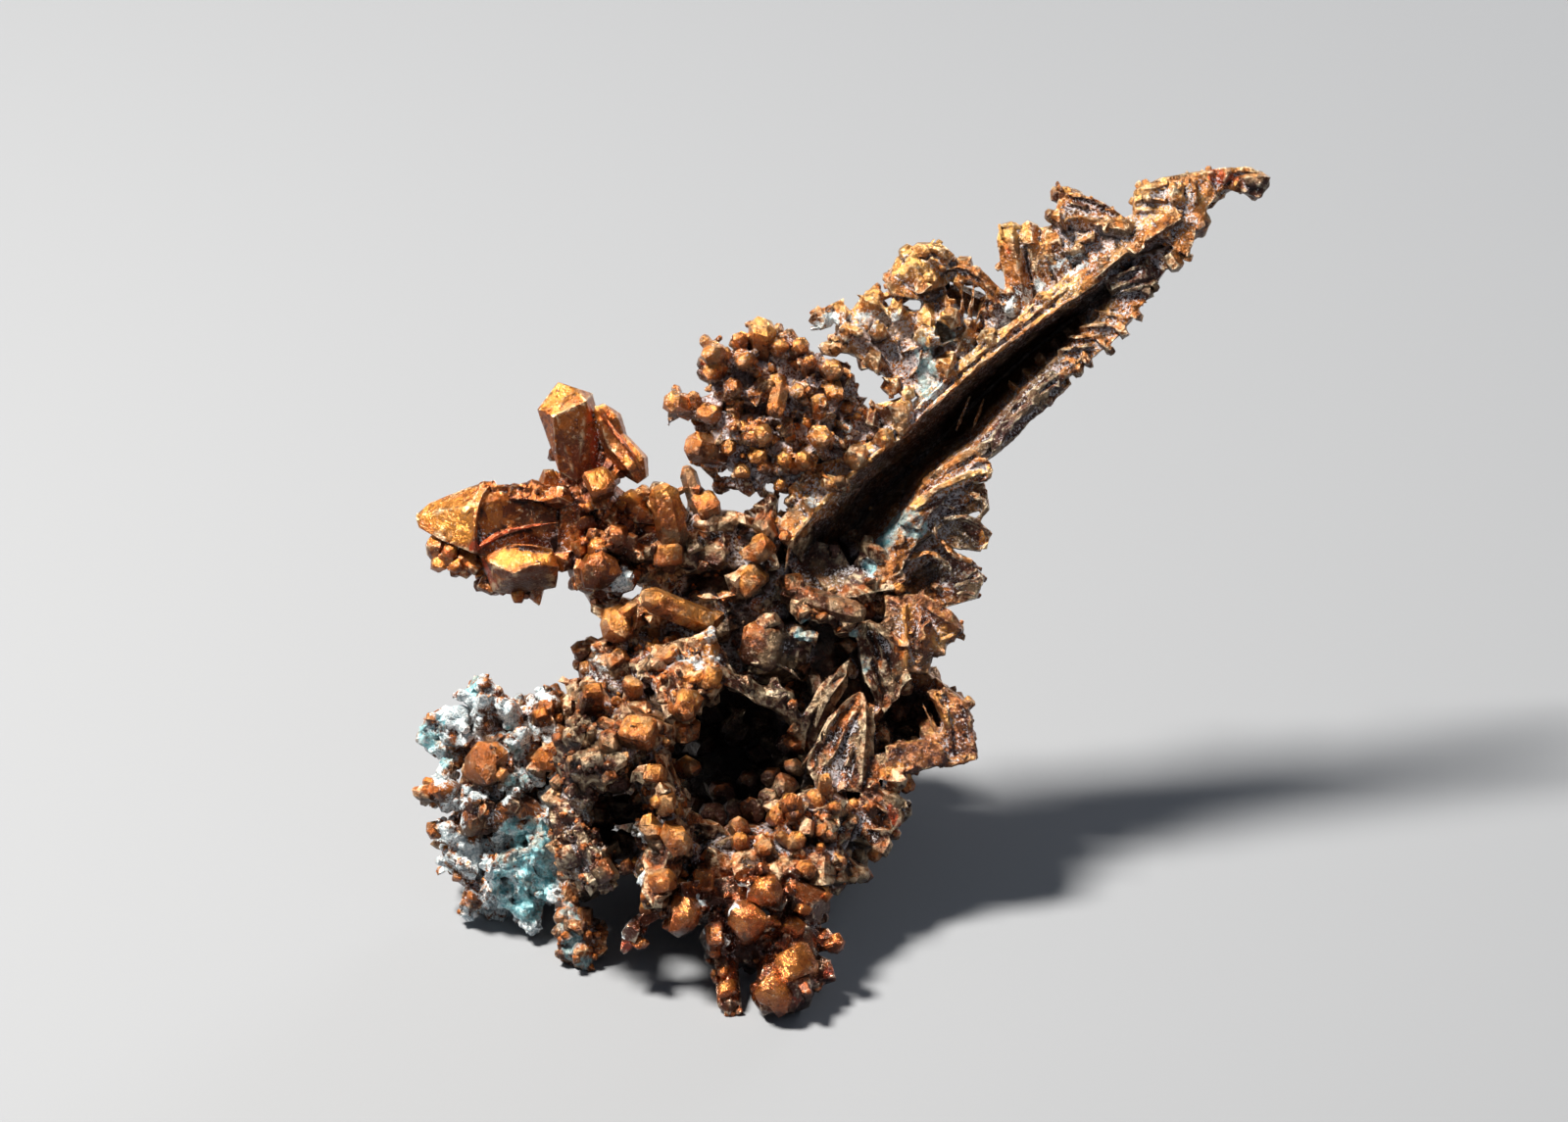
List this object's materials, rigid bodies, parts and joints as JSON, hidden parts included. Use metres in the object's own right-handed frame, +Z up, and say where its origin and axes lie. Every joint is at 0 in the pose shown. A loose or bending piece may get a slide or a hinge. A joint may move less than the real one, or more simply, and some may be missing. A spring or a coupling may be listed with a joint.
{
  "type": "native copper nugget",
  "caption": "Branching native copper specimen of intergrown crystals: a long ridged spire, a knobby fan, an arm of large crystals and a pale crusted lobe, resting on small feet.",
  "frame": {"origin": "middle of the specimen's bounding box, on the surface it rests on", "axes": "+Z up as it stands, -Y towards the crystal face that leans back by 30 degrees, +X towards the spire's tip"},
  "size_m": [0.0546, 0.0358, 0.0429],
  "materials": {
    "brown_copper": "brown tarnished copper, half gloss",
    "ridge_copper": "golden brown copper, half gloss",
    "fan_copper": "orange brown copper with pale dust in its crevices",
    "bright_copper": "orange copper crystal faces, fairly glossy",
    "crusted_copper": "copper under a matte pale blue-green mineral crust",
    "torn_copper": "brown copper with golden edges",
    "foot_copper": "red-orange copper crystal faces, glossy"
  },
  "bodies": {
    "root": {"body": "brown_copper", "spire": "ridge_copper", "knob_fan": "fan_copper", "crystal_arm": "bright_copper", "crusted_lobe": "crusted_copper", "side_wing": "torn_copper", "front_foot": "foot_copper"}
  },
  "joints": []
}
